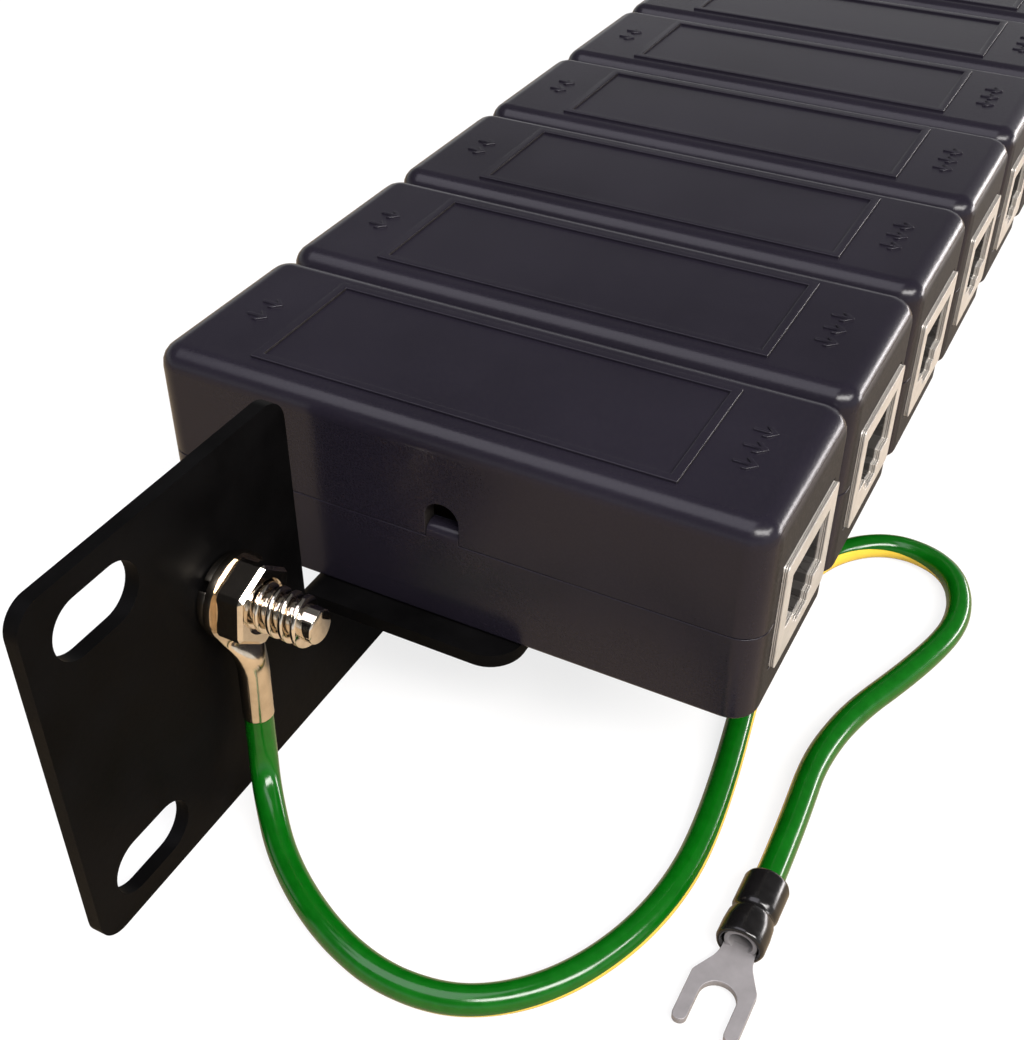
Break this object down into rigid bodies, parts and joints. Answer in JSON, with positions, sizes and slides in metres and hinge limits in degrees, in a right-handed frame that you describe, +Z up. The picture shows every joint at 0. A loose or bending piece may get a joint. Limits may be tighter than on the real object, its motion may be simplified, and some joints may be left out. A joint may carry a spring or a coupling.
{
  "type": "ethernet surge protector",
  "caption": "Rack panel with a row of inline network surge modules, shielded sockets at both ends, slotted ears, and a ground stud with a green lead ending in a fork.",
  "frame": {"origin": "centre of the four rack slots, on the back face of the panel's ears", "axes": "+X along the panel away from the ground stud, +Y into the rack out of the panel's back, +Z up"},
  "size_m": [0.4826, 0.0864, 0.0436],
  "materials": {
    "panel_paint": "semi-gloss black powder coat",
    "module_plastic": "finely grained dark aubergine plastic",
    "jack_plastic": "dark grey plastic",
    "shield_metal": "warm nickel-plated sheet",
    "board": "green circuit board",
    "arrester_body": "ceramic with metal ends",
    "brass_insert": "turned",
    "bright_steel": "polished plating",
    "tinned_copper": "polished tin plating, warm",
    "lead_insulation": "glossy green with a yellow stripe",
    "sleeve_vinyl": "glossy black vinyl",
    "fork_steel": "tinned, dull grey"
  },
  "bodies": {
    "root": {"bracket": "panel_paint", "circuit_boards": "board", "equip_jack_housings": "jack_plastic", "equip_jack_shields": "shield_metal", "fork_sleeve": "sleeve_vinyl", "fork_terminal": "fork_steel", "ground_inserts": "brass_insert", "ground_stud": "bright_steel", "ground_wire": "lead_insulation", "line_jack_housings": "jack_plastic", "line_jack_shields": "shield_metal", "lock_washer": "bright_steel", "module_base_01": "module_plastic", "module_base_02": "module_plastic", "module_base_03": "module_plastic", "module_base_04": "module_plastic", "module_base_05": "module_plastic", "module_base_06": "module_plastic", "module_base_07": "module_plastic", "module_base_08": "module_plastic", "module_base_09": "module_plastic", "module_base_10": "module_plastic", "module_base_11": "module_plastic", "module_base_12": "module_plastic", "module_base_13": "module_plastic", "module_base_14": "module_plastic", "module_base_15": "module_plastic", "module_base_16": "module_plastic", "module_cover_01": "module_plastic", "module_cover_02": "module_plastic", "module_cover_03": "module_plastic", "module_cover_04": "module_plastic", "module_cover_05": "module_plastic", "module_cover_06": "module_plastic", "module_cover_07": "module_plastic", "module_cover_08": "module_plastic", "module_cover_09": "module_plastic", "module_cover_10": "module_plastic", "module_cover_11": "module_plastic", "module_cover_12": "module_plastic", "module_cover_13": "module_plastic", "module_cover_14": "module_plastic", "module_cover_15": "module_plastic", "module_cover_16": "module_plastic", "ring_terminal": "tinned_copper", "stud_nut": "bright_steel", "surge_arresters": "arrester_body"}
  },
  "joints": []
}
